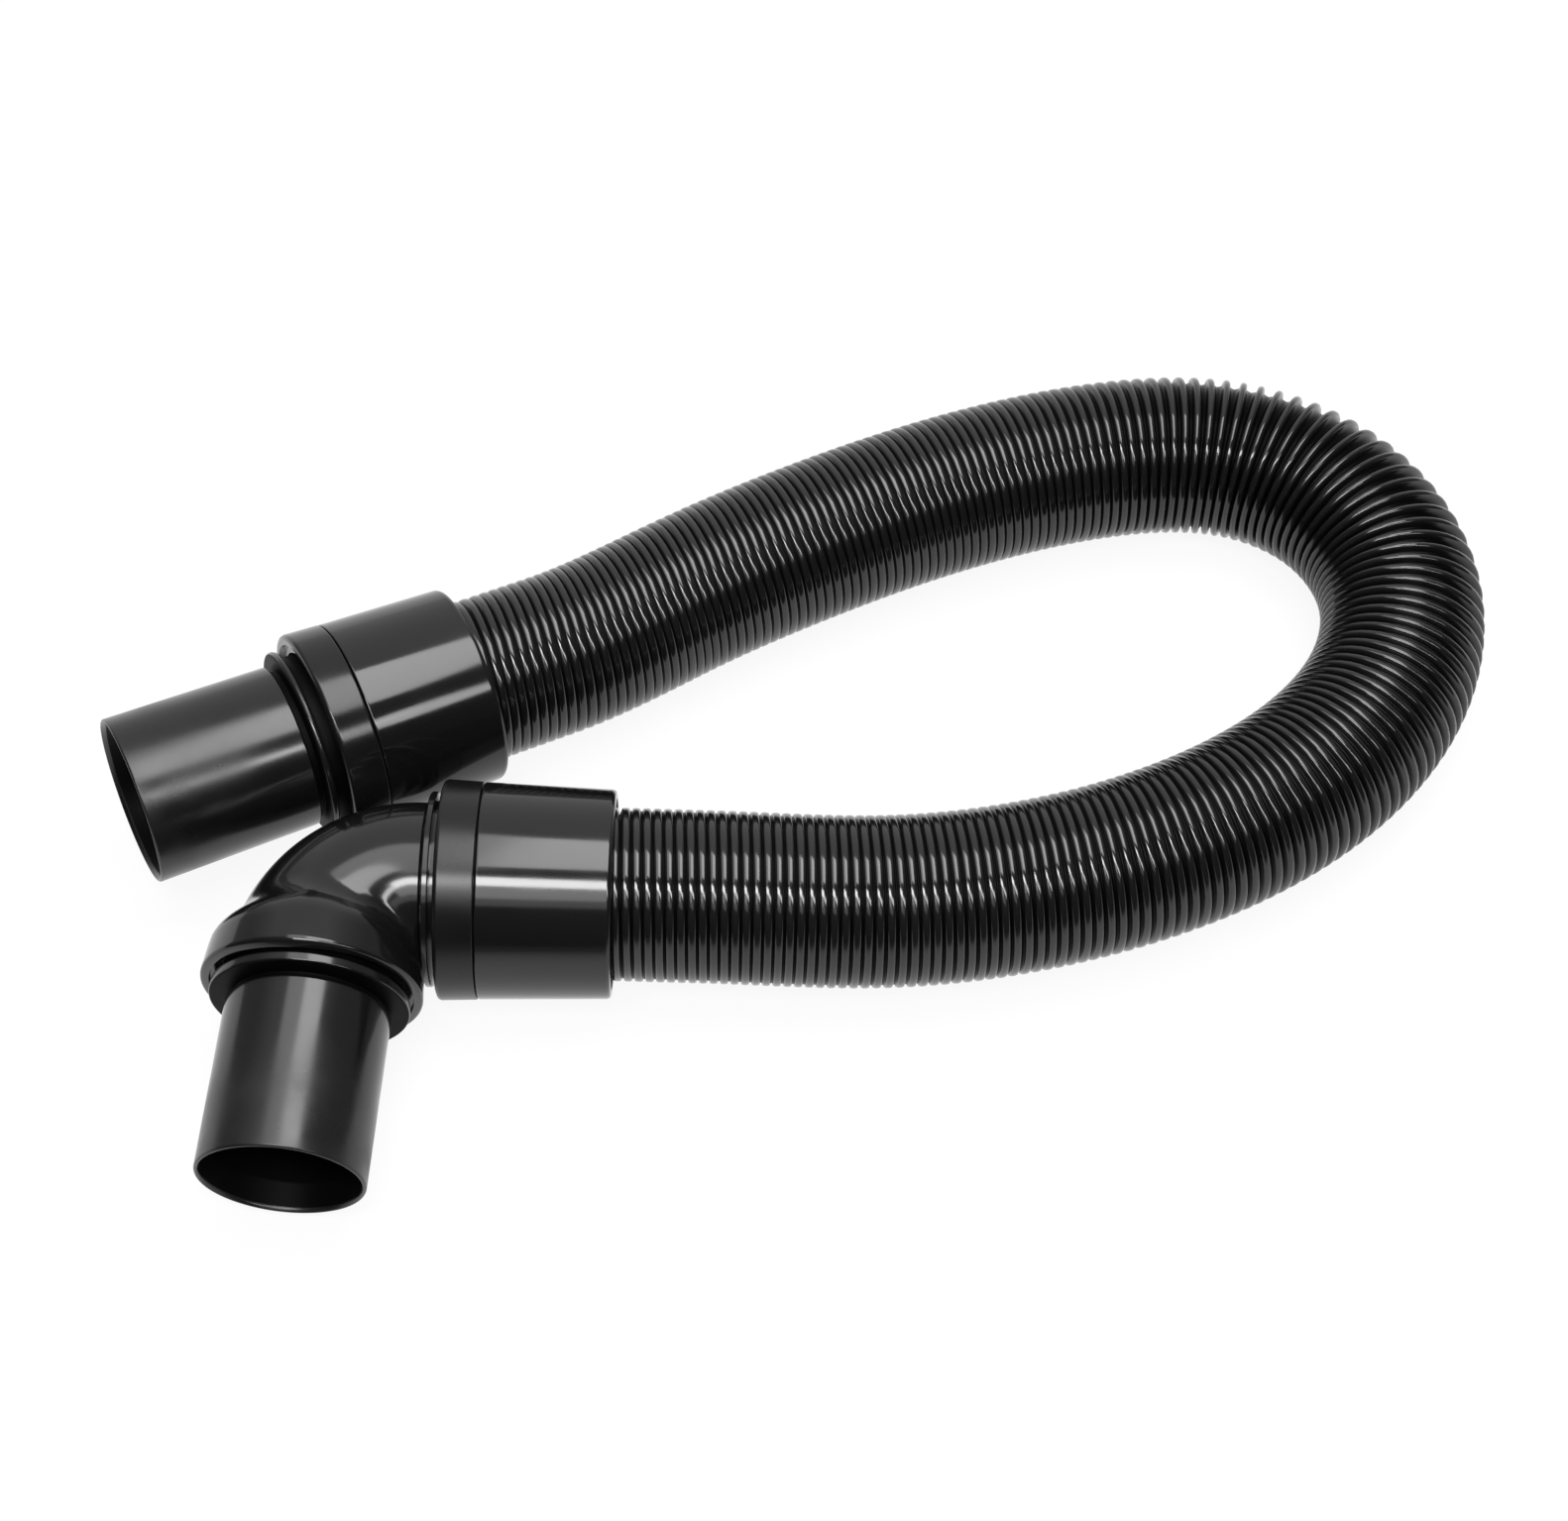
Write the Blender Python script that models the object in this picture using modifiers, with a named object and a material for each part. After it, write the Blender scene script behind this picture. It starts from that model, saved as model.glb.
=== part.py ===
"""Stretch hose of a vacuum cleaner, with a straight swivel cuff and an elbow swivel cuff.

The hose lies in a U on the floor, z = 0. Sizes are in millimetres and are turned into metres where
a mesh is made. Both cuffs are described along their own axis: height 0 is the front rim of the cuff
and heights grow towards the open mouth of its spigot.
"""

from math import cos, pi, radians, sin, tan

import bmesh
import bpy
import numpy as np
from mathutils import Matrix, Vector

MM = 0.001
SEGMENTS = 36
SEAL_SIDES = 6

# Layout. SHIFT moves everything so that the origin lies under the middle of the cuffs and spigots.
SHIFT = Vector((-6.6, -2.7, 0.0))
STRAIGHT_MOUTH = Vector((-54.96, 20.35, 36.6))
STRAIGHT_TURN = 209.25
STRAIGHT_RISE = 5.0
ELBOW_CENTRE = Vector((1.5, -1.3, 31.04))
ELBOW_YAW = 1.65
ELBOW_TILT = 2.3
ELBOW_DROOP = 2.75
SPIGOT_LENGTH = 53.5

# Cuff, the same at both ends.
CAP_RADIUS = 29.8
CAP_DEPTH = 10.5
SLEEVE_END = -46.5
HOSE_SEAT = -24.3

# Elbow, in its own frame: its centre is the origin, the cuff lies along +X and the bell about -Y.
CUFF_REACH = 30.3
BELL_REACH = 31.7
BELL_RADIUS = 29.5
BEND_TURN = radians(87.0)
BEND_RADIUS = 26.0
BEND_REACH = BEND_RADIUS * tan(0.5 * BEND_TURN)
BEND_STEPS = 10
ELBOW_TUBE_RADIUS = 23.3
ELBOW_BORE_RADIUS = 20.3

# Hose.
CREST_RADIUS = 23.5
ROOT_RADIUS = 20.0
HOSE_BORE_RADIUS = 18.6
STRAIGHT_RUN = 47.0
HIDDEN_RUN = 22.2
ROUTE_MIDDLE = (
    (151.7, 3.3, 24.7),
    (185.6, 9.0, 23.8),
    (218.6, 19.4, 23.5),
    (249.4, 34.7, 23.5),
    (276.3, 56.1, 23.5),
    (295.2, 84.7, 23.5),
    (299.2, 118.4, 23.5),
    (283.4, 148.5, 23.5),
    (253.1, 163.8, 23.5),
    (218.8, 163.0, 23.5),
    (185.6, 154.0, 23.5),
    (153.7, 141.0, 23.5),
    (122.9, 125.3, 23.5),
    (93.2, 107.6, 23.6),
)

# Split rings.
RING_GAP = 8.0

COLOURS = {
    "hose": ((0.012, 0.012, 0.013), 0.38),
    "cuff": ((0.016, 0.016, 0.017), 0.30),
    "band": ((0.020, 0.020, 0.022), 0.42),
    "spigot": ((0.014, 0.014, 0.015), 0.22),
    "collar": ((0.030, 0.030, 0.032), 0.50),
    "ring": ((0.55, 0.55, 0.53), 0.45),
    "seal": ((0.010, 0.010, 0.010), 0.70),
}


def clear_scene():
    for obj in list(bpy.data.objects):
        bpy.data.objects.remove(obj, do_unlink=True)


def new_collection(name):
    group = bpy.data.collections.new(name)
    bpy.context.scene.collection.children.link(group)
    return group


def material(name, kind):
    colour, roughness = COLOURS[kind]
    mat = bpy.data.materials.new(name)
    mat.use_nodes = True
    shader = mat.node_tree.nodes["Principled BSDF"]
    shader.inputs["Base Color"].default_value = (*colour, 1.0)
    shader.inputs["Roughness"].default_value = roughness
    return mat


def add_piece(name, mesh, kind, place=Matrix()):
    obj = bpy.data.objects.new(name, mesh)
    obj.matrix_world = place
    mesh.materials.append(material(name, kind))
    PIECES.objects.link(obj)
    return obj


def add_cutter(name, mesh, place=Matrix()):
    obj = bpy.data.objects.new(name, mesh)
    obj.matrix_world = place
    obj.hide_render = True
    obj.display_type = "WIRE"
    CUTTERS.objects.link(obj)
    return obj


def boolean(obj, other, operation):
    mod = obj.modifiers.new(operation.title(), "BOOLEAN")
    mod.operation = operation
    mod.solver = "EXACT"
    mod.object = other


def heading(turn, rise):
    """Unit direction from a turn about the vertical and a rise above the floor, in degrees."""
    flat = cos(radians(rise))
    return Vector((flat * cos(radians(turn)), flat * sin(radians(turn)), sin(radians(rise))))


def aim(front, towards_mouth):
    """Matrix that puts a round piece's origin at front, with local Z towards the mouth and Y uppermost."""
    turn = towards_mouth.to_track_quat("Z", "Y").to_matrix().to_4x4()
    return Matrix.Translation(front * MM) @ turn


def elbow_frame(droop):
    """Matrix of the elbow's own frame: the cuff lies on its tapered side, the bell droops to the floor."""
    turn = Matrix.Rotation(radians(ELBOW_YAW), 4, "Z") @ Matrix.Rotation(radians(ELBOW_TILT), 4, "Y")
    turn = turn @ Matrix.Rotation(radians(droop), 4, "X")
    return Matrix.Translation((ELBOW_CENTRE + SHIFT) * MM) @ turn


def turned(name, outline, kind, place, segments=SEGMENTS):
    """Spin a closed outline of (radius, height) corners, down its outer side, into a round piece."""
    mesh = bpy.data.meshes.new(name)
    corners = [(radius * MM, 0.0, height * MM) for radius, height in outline]
    edges = [(i, (i + 1) % len(corners)) for i in range(len(corners))]
    mesh.from_pydata(corners, edges, [])
    obj = add_piece(name, mesh, kind, place)
    screw = obj.modifiers.new("Turn", "SCREW")
    screw.steps = segments
    screw.render_steps = segments
    screw.use_merge_vertices = True
    screw.merge_threshold = 0.0001
    screw.use_smooth_shade = True
    return obj


def skin(name, rings, segments=SEGMENTS):
    """Mesh through a row of level rings, each a (centre, direction, radius), closed at both ends."""
    shape = bmesh.new()
    loops = []
    for centre, direction, radius in rings:
        side = direction.cross(Vector((0.0, 0.0, 1.0))).normalized()
        up = side.cross(direction)
        angles = [2.0 * pi * i / segments for i in range(segments)]
        spots = [centre + side * radius * cos(a) + up * radius * sin(a) for a in angles]
        loops.append([shape.verts.new(spot * MM) for spot in spots])
    for first, second in zip(loops, loops[1:]):
        for i in range(segments):
            j = (i + 1) % segments
            shape.faces.new((first[i], first[j], second[j], second[i]))
    shape.faces.new(loops[0])
    shape.faces.new(loops[-1])
    bmesh.ops.recalc_face_normals(shape, faces=shape.faces)
    for face in shape.faces:
        face.smooth = len(face.verts) == 4
    mesh = bpy.data.meshes.new(name)
    shape.to_mesh(mesh)
    shape.free()
    return mesh


# ---------------------------------------------------------------------------- cuff, made twice

def make_cap(name, place):
    """Band round the swivel: a recessed front, a lip that holds the spigot in, and two inner steps."""
    back = CAP_RADIUS - 0.45
    outline = (
        (CAP_RADIUS - 0.8, 0.0),
        (CAP_RADIUS, -0.8),
        (back, -CAP_DEPTH + 0.4),
        (back - 0.4, -CAP_DEPTH),
        (27.9, -CAP_DEPTH),
        (27.9, -6.5),
        (26.2, -6.5),
        (26.2, -3.4),
        (24.4, -3.4),
        (24.4, -1.2),
        (27.3, -1.2),
        (27.6, 0.0),
    )
    return turned(name, outline, "band", place)


def make_sleeve(name, place):
    """Long gripping sleeve: a nose inside the band, a swivel chamber and a socket for the hose."""
    outline = (
        (27.6, -6.8),
        (27.6, -11.1),
        (28.9, -11.1),
        (29.3, -11.5),
        (27.95, -45.2),
        (27.6, -46.1),
        (27.0, SLEEVE_END),
        (26.0, SLEEVE_END),
        (26.0, -24.0),
        (18.4, -24.0),
        (18.4, -21.5),
        (24.7, -21.5),
        (24.7, -6.8),
    )
    return turned(name, outline, "cuff", place)


def make_hose_collar(name, place):
    outline = ((25.6, HOSE_SEAT), (25.6, -45.6), (23.9, -45.6), (23.9, HOSE_SEAT))
    return turned(name, outline, "collar", place)


def make_split_ring(name, place):
    """Square ring with a gap, sprung into the groove behind the lip."""
    outline = ((25.9, -3.7), (25.9, -6.5), (22.9, -6.5), (22.9, -3.7))
    ring = turned(name, outline, "ring", place)
    gap = bmesh.new()
    bmesh.ops.create_cube(gap, size=1.0)
    bmesh.ops.scale(gap, verts=gap.verts, vec=(RING_GAP * MM, 12.0 * MM, 6.0 * MM))
    bmesh.ops.translate(gap, verts=gap.verts, vec=(0.0, 24.4 * MM, -5.1 * MM))
    mesh = bpy.data.meshes.new(name + "_gap")
    gap.to_mesh(mesh)
    gap.free()
    boolean(ring, add_cutter(name + "_gap", mesh, place), "DIFFERENCE")
    return ring


def make_seal(name, place, middle):
    """Round seal ring whose section's centre is at the height given."""
    angles = [-2.0 * pi * i / SEAL_SIDES for i in range(SEAL_SIDES)]
    outline = [(23.35 + 1.05 * cos(a), middle + 1.05 * sin(a)) for a in angles]
    return turned(name, outline, "seal", place)


def neck_outline(inner_end, seal):
    """Outer side of a swivelling neck from its collar inwards: lip neck, ring groove, seal groove."""
    return (
        (25.7, 1.6),
        (23.9, 1.6),
        (23.9, -3.4),
        (22.6, -3.4),
        (22.6, -6.8),
        (23.4, -6.8),
        (23.4, seal + 1.4),
        (22.0, seal + 1.4),
        (22.0, seal - 1.4),
        (23.4, seal - 1.4),
        (23.4, inner_end),
    )


def collar_outline(foot):
    """Collar ring in front of the band, with a hollow fillet up to the tube's foot."""
    return (
        (foot, 6.4),
        (foot + 0.4, 5.2),
        (foot + 1.6, 4.6),
        (25.7, 4.6),
        (26.0, 4.3),
        (26.0, 1.9),
    )


# ---------------------------------------------------------------------------- straight end

def make_straight_end():
    towards = heading(STRAIGHT_TURN, STRAIGHT_RISE)
    place = aim(STRAIGHT_MOUTH + SHIFT - towards * SPIGOT_LENGTH, towards)
    make_cap("straight_cap", place)
    make_sleeve("straight_sleeve", place)
    make_hose_collar("straight_hose_collar", place)
    make_split_ring("straight_split_ring", place)
    make_seal("straight_seal", place, -15.4)
    mouth = (
        (21.2, SPIGOT_LENGTH),
        (23.0, SPIGOT_LENGTH),
        (23.5, SPIGOT_LENGTH - 0.5),
    )
    bore = (
        (20.3, -20.5),
        (20.3, 20.0),
        (20.9, SPIGOT_LENGTH - 0.4),
    )
    outline = mouth + collar_outline(23.0) + neck_outline(-20.5, -15.4) + bore
    turned("straight_spigot", outline, "spigot", place)


# ---------------------------------------------------------------------------- elbow end

def elbow_station(height):
    """Centre and direction on the elbow's centreline, by height in front of the cuff's rim."""
    start = CUFF_REACH - BEND_REACH
    if height <= start:
        return Vector((CUFF_REACH - height, 0.0, 0.0)), Vector((-1.0, 0.0, 0.0))
    turn = (height - start) / BEND_RADIUS
    hub = Vector((BEND_REACH, -BEND_RADIUS, 0.0))
    spot = hub + Vector((-sin(turn), cos(turn), 0.0)) * BEND_RADIUS
    return spot, Vector((-cos(turn), -sin(turn), 0.0))


def bend_heights():
    start = CUFF_REACH - BEND_REACH
    return [start + BEND_RADIUS * BEND_TURN * i / BEND_STEPS for i in range(BEND_STEPS + 1)]


def bell_way():
    return Vector((-cos(BEND_TURN), -sin(BEND_TURN), 0.0))


def elbow_rings(outline):
    return [(*elbow_station(height), radius) for radius, height in outline]


def bell_rings(outline):
    way = bell_way()
    return [(way * (BELL_REACH + height), way, radius) for radius, height in outline]


def make_elbow_body(frame):
    """One moulding: neck, bend and bell are joined, then the bore and the bell's inside are cut."""
    neck = reversed(collar_outline(ELBOW_TUBE_RADIUS)[1:] + neck_outline(-20.5, -15.4))
    bend = [(ELBOW_TUBE_RADIUS, height) for height in bend_heights()]
    outer = skin("elbow_body", elbow_rings(list(neck) + bend))
    body = add_piece("elbow_body", outer, "spigot", frame)
    bell = (
        (22.5, -15.0),
        (24.6, -14.4),
        (26.9, -13.0),
        (28.3, -11.0),
        (28.9, -8.0),
        (BELL_RADIUS, -0.8),
        (BELL_RADIUS - 0.8, 0.0),
    )
    bore = [(ELBOW_BORE_RADIUS, -22.0)] + [(ELBOW_BORE_RADIUS, height) for height in bend_heights()]
    inside = (
        (24.7, -12.7),
        (24.7, -6.8),
        (26.2, -6.8),
        (26.2, -3.4),
        (24.4, -3.4),
        (24.4, -1.2),
        (27.1, -1.2),
        (27.5, 0.4),
    )
    boolean(body, add_cutter("elbow_bell", skin("elbow_bell", bell_rings(bell)), frame), "UNION")
    boolean(body, add_cutter("elbow_bore", skin("elbow_bore", elbow_rings(bore)), frame), "DIFFERENCE")
    boolean(body, add_cutter("bell_inside", skin("bell_inside", bell_rings(inside)), frame), "DIFFERENCE")


def make_elbow_end():
    front = aim(Vector((CUFF_REACH, 0.0, 0.0)), Vector((-1.0, 0.0, 0.0)))
    place = elbow_frame(0.0) @ front
    make_cap("elbow_cap", place)
    make_sleeve("elbow_sleeve", place)
    make_hose_collar("elbow_hose_collar", place)

    swivel = elbow_frame(ELBOW_DROOP)
    make_split_ring("elbow_split_ring", swivel @ front)
    make_seal("elbow_seal", swivel @ front, -15.4)
    make_elbow_body(swivel)

    place = swivel @ aim(bell_way() * BELL_REACH, bell_way())
    make_split_ring("bell_split_ring", place)
    make_seal("bell_seal", place, -9.4)
    mouth = (
        (19.6, SPIGOT_LENGTH),
        (21.4, SPIGOT_LENGTH),
        (21.9, SPIGOT_LENGTH - 0.5),
        (21.75, 27.2),
        (21.95, 26.8),
    )
    bore = ((19.3, -12.2), (19.3, SPIGOT_LENGTH - 0.4))
    outline = mouth + collar_outline(21.8) + neck_outline(-12.2, -9.4) + bore
    turned("elbow_spigot", outline, "spigot", place)


# ---------------------------------------------------------------------------- hose

def clamped_spline(points, first_way, last_way, per_span=12):
    """Smooth curve through the points that leaves and arrives along the two directions given."""
    knots = np.array([tuple(p) for p in points])
    spans = np.linalg.norm(np.diff(knots, axis=0), axis=1)
    count = len(knots)
    system = np.zeros((count, count))
    right = np.zeros((count, 3))
    system[0, 0] = 1.0
    system[-1, -1] = 1.0
    right[0] = first_way
    right[-1] = last_way
    for i in range(1, count - 1):
        before, after = spans[i - 1], spans[i]
        system[i, i - 1:i + 2] = after, 2.0 * (before + after), before
        right[i] = 3.0 * (after * (knots[i] - knots[i - 1]) / before + before * (knots[i + 1] - knots[i]) / after)
    ways = np.linalg.solve(system, right)
    line = []
    for i, span in enumerate(spans):
        for t in np.arange(per_span) / per_span:
            spot = (2 * t**3 - 3 * t**2 + 1) * knots[i] + (t**3 - 2 * t**2 + t) * span * ways[i]
            spot = spot + (3 * t**2 - 2 * t**3) * knots[i + 1] + (t**3 - t**2) * span * ways[i + 1]
            line.append(spot)
    line.append(knots[-1])
    return np.array(line)


def hose_line():
    """Centreline of the whole hose, hidden ends included, from the elbow cuff to the straight cuff."""
    away = heading(ELBOW_YAW, -ELBOW_TILT)
    start = ELBOW_CENTRE + away * (CUFF_REACH - HOSE_SEAT)
    towards = heading(STRAIGHT_TURN, STRAIGHT_RISE)
    end = STRAIGHT_MOUTH - towards * (SPIGOT_LENGTH - HOSE_SEAT)
    first = start + away * STRAIGHT_RUN
    last = end - towards * STRAIGHT_RUN
    bends = clamped_spline([first, *ROUTE_MIDDLE, last], away, towards)
    line = np.vstack([np.array([start]), bends, np.array([end])])
    line[:, 2] = np.maximum(line[:, 2], CREST_RADIUS)
    return line + np.array(SHIFT)


def rib_pitch(along, length):
    """Distance from one rib to the next: slack near the cuffs, stretched open round the outer bend."""
    eased = 0.47 * np.exp(-(((along - 252.6) / 121.0) ** 2))
    stretched = 1.73 * np.exp(-(((along - 338.6) / 58.0) ** 2))
    hidden = (along < HIDDEN_RUN) | (along > length - HIDDEN_RUN)
    return np.where(hidden, 4.3, 2.85 + eased + stretched)


def rib_places(length):
    """Places of the crests: the pitch is followed along the hose, then fitted to its length."""
    fine = np.linspace(0.0, length, 4000)
    pitch = rib_pitch(0.5 * (fine[1:] + fine[:-1]), length)
    ribs = np.concatenate([[0.0], np.cumsum(np.diff(fine) / pitch)])
    count = int(round(ribs[-1]))
    return np.interp(np.arange(0.0, count + 0.25, 0.5) * ribs[-1] / count, ribs, fine)


def tube(name, path, radii):
    """Closed mesh of a tube swept along the path with its own radius at every point."""
    curve = bpy.data.curves.new(name, "CURVE")
    curve.dimensions = "3D"
    curve.twist_mode = "Z_UP"
    curve.bevel_depth = MM
    curve.bevel_resolution = 2
    curve.use_fill_caps = True
    spline = curve.splines.new("POLY")
    spline.points.add(len(path) - 1)
    for point, spot, radius in zip(spline.points, path, radii):
        point.co = (*(Vector(spot) * MM), 1.0)
        point.radius = radius
    holder = bpy.data.objects.new(name + "_path", curve)
    PIECES.objects.link(holder)
    mesh = bpy.data.meshes.new_from_object(holder.evaluated_get(bpy.context.evaluated_depsgraph_get()))
    bpy.data.objects.remove(holder, do_unlink=True)
    mesh.name = name
    shape = bmesh.new()
    shape.from_mesh(mesh)
    bmesh.ops.remove_doubles(shape, verts=shape.verts, dist=0.00001)
    bmesh.ops.recalc_face_normals(shape, faces=shape.faces)
    shape.to_mesh(mesh)
    shape.free()
    return mesh


def make_hose():
    line = hose_line()
    along = np.concatenate([[0.0], np.cumsum(np.linalg.norm(np.diff(line, axis=0), axis=1))])
    places = rib_places(along[-1])
    path = np.column_stack([np.interp(places, along, line[:, k]) for k in range(3)])
    radii = [CREST_RADIUS if i % 2 == 0 else ROOT_RADIUS for i in range(len(path))]
    hose = add_piece("hose", tube("hose", path, radii), "hose")
    over = [2.0 * path[0] - path[1], 2.0 * path[-1] - path[-2]]
    inner = np.vstack([over[0], path[2:-2:6], over[1]])
    mesh = tube("hose_bore", inner, [HOSE_BORE_RADIUS] * len(inner))
    boolean(hose, add_cutter("hose_bore", mesh), "DIFFERENCE")
    print("hose", round(along[-1], 1), "mm,", len(places) // 2, "ribs")


clear_scene()
PIECES = new_collection("vacuum_hose")
CUTTERS = new_collection("cutters")
make_straight_end()
make_elbow_end()
make_hose()
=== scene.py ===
# %% [markdown]
# # A vacuum cleaner's stretch hose, from bare solids to a picture
#
# The part is a ribbed black hose that lies in a U on a white floor. One end has a straight cuff whose
# spigot turns freely. The other end has an elbow that turns in its cuff, and a spigot that turns in
# the elbow. The engineering solids come ready made, as a fixed frame. This lesson gives them the
# rounded edges, the fine ribs and the glossy plastic of the real thing.

from math import cos, pi, radians, sin, tan

import bmesh
import bpy
import numpy as np
from mathutils import Matrix, Vector


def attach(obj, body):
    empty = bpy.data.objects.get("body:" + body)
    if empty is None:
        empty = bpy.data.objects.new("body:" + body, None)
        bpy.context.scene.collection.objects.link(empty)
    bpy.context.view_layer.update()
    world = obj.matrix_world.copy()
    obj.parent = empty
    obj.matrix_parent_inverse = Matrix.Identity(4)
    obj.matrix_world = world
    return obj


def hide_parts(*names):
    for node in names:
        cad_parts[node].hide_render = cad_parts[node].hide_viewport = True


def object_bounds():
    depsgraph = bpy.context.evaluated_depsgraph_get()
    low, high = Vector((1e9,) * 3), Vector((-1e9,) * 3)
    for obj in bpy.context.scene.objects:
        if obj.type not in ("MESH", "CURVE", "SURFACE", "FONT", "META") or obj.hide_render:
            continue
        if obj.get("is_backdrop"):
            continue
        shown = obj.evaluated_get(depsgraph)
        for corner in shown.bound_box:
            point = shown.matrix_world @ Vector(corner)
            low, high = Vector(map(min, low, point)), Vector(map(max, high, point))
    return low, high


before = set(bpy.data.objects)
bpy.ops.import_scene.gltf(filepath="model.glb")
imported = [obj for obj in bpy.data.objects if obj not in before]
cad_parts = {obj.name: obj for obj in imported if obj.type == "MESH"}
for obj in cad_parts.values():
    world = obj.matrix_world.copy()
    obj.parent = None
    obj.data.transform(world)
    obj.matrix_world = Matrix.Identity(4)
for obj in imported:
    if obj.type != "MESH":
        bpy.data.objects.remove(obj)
cad_box = [list(corner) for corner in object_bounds()]

# %% [markdown]
# ## The camera
#
# The photograph looks down at the hose at about 56 degrees from some 0.8 m away, with a fairly long
# lens. A long lens keeps the near cuff and the far bend at nearly the same scale. It could be turned
# by angles, but a pair of points, where it stands and what it looks at, is easier to read.

# %% Camera
MM = 0.001
CAMERA_SPOT = Vector((131.73, -390.48, 672.71)) * MM
CAMERA_TARGET = Vector((115.03, 62.22, 0.0)) * MM
LENS, SENSOR_WIDTH = 63.99, 36.0


def placed(name, data):
    """New object in the scene from a mesh, a lamp or a camera."""
    made = bpy.data.objects.new(name, data)
    bpy.context.scene.collection.objects.link(made)
    return made


camera = placed("camera", bpy.data.cameras.new("camera"))
camera.data.lens = LENS
camera.data.sensor_width = SENSOR_WIDTH
camera.location = CAMERA_SPOT
camera.rotation_euler = (CAMERA_TARGET - CAMERA_SPOT).to_track_quat("-Z", "Y").to_euler()
bpy.context.scene.camera = camera
print("camera stands", round((CAMERA_TARGET - CAMERA_SPOT).length, 3), "m from its target")

# %% [markdown]
# ## Where each piece sits
#
# Every cuff is round, so each is described along its own axis: height 0 is the front rim of the
# cuff, and heights grow towards the open mouth of the spigot. A placing matrix then stands that axis
# where the solids have it. The elbow has a frame of its own, with the cuff along X and the bell
# almost at a right angle to it, and the bell droops until its rim touches the floor.

# %% Axes of the two cuffs and of the bell
STRAIGHT_MOUTH = Vector((-61.56, 17.65, 36.6))
STRAIGHT_TURN = 209.25
STRAIGHT_RISE = 5.0
ELBOW_CENTRE = Vector((-5.1, -4.0, 31.04))
ELBOW_YAW = 1.65
ELBOW_TILT = 2.3
ELBOW_DROOP = 2.75
SPIGOT_LENGTH = 53.5
CUFF_REACH = 30.3
BELL_REACH = 31.7
BEND_RADIUS = 26.0
BEND_TURN = radians(87.0)
BEND_REACH = BEND_RADIUS * tan(0.5 * BEND_TURN)


def heading(turn, rise):
    """Unit direction from a turn about the vertical and a rise above the floor, in degrees."""
    flat = cos(radians(rise))
    return Vector((flat * cos(radians(turn)), flat * sin(radians(turn)), sin(radians(rise))))


def aim(front, towards_mouth):
    """Matrix that puts a round piece's origin at front, with its Z towards the mouth."""
    turn = towards_mouth.to_track_quat("Z", "Y").to_matrix().to_4x4()
    return Matrix.Translation(front * MM) @ turn


def elbow_frame(droop):
    """Matrix of the elbow's own frame, rolled by the droop about the cuff's axis."""
    turn = Matrix.Rotation(radians(ELBOW_YAW), 4, "Z") @ Matrix.Rotation(radians(ELBOW_TILT), 4, "Y")
    return Matrix.Translation(ELBOW_CENTRE * MM) @ turn @ Matrix.Rotation(radians(droop), 4, "X")


straight_way = heading(STRAIGHT_TURN, STRAIGHT_RISE)
bell_way = Vector((-cos(BEND_TURN), -sin(BEND_TURN), 0.0))
cuff_front = aim(Vector((CUFF_REACH, 0.0, 0.0)), Vector((-1.0, 0.0, 0.0)))
bell_place = aim(bell_way * BELL_REACH, bell_way)
straight_axis = aim(STRAIGHT_MOUTH - straight_way * SPIGOT_LENGTH, straight_way)
elbow_cuff_axis = elbow_frame(0.0) @ cuff_front
swivel_frame = elbow_frame(ELBOW_DROOP)
elbow_axis = swivel_frame @ cuff_front
bell_axis = swivel_frame @ bell_place
print("bell rim at", [round(c / MM, 1) for c in bell_axis.translation], "mm")

# %% [markdown]
# ## Plastics
#
# The pieces are injection moulded in black ABS, which is glossy but never perfect: the surface has a
# slow waviness from the mould, a faint grain, and fine scuffs where hands and tubes rub it. A plain
# black with one roughness reads as ink. So each finish is a Principled shader whose colour, gloss
# and bump come from noise in millimetre sizes. The noise reads Object coordinates through a Mapping
# node, which undoes the placing matrix, so that its Z runs along the piece. Turned marks and the wear
# that grows towards a mouth both follow that Z. Relief made by the shader costs no faces.

# %% A small kit for shader nodes
def node(tree, kind, place, **inputs):
    """Add a shader node and set its inputs by name; a socket as value makes a link."""
    made = tree.nodes.new(kind)
    made.location = place
    for name, value in inputs.items():
        socket = made.inputs[name.replace("_", " ")]
        if isinstance(value, bpy.types.NodeSocket):
            tree.links.new(value, socket)
        else:
            socket.default_value = value
    return made


def axis_coordinates(tree, axis):
    """Object coordinates in millimetres, turned so that Z runs along the piece's own axis."""
    where = node(tree, "ShaderNodeTexCoord", (-1500, 0))
    undo = node(tree, "ShaderNodeMapping", (-1300, 0), Vector=where.outputs["Object"])
    undo.vector_type = "TEXTURE"
    undo.inputs["Location"].default_value = axis.translation
    undo.inputs["Rotation"].default_value = axis.to_euler()
    undo.inputs["Scale"].default_value = (MM, MM, MM)
    return undo.outputs["Vector"]


def map_range(tree, value, place, start, end):
    """Map the (low, high) range start of a value to the range end, and hold it inside."""
    made = node(tree, "ShaderNodeMapRange", place, Value=value)
    for name, number in zip(("From Min", "From Max", "To Min", "To Max"), (*start, *end)):
        made.inputs[name].default_value = number
    return made.outputs["Result"]


def combined(tree, operation, first_value, second_value, place):
    """Join two numbers, each a socket or a constant, in a Math node."""
    made = node(tree, "ShaderNodeMath", place)
    made.operation = operation
    for socket, value in zip(made.inputs, (first_value, second_value)):
        if isinstance(value, bpy.types.NodeSocket):
            tree.links.new(value, socket)
        else:
            socket.default_value = value
    return made.outputs["Value"]


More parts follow.
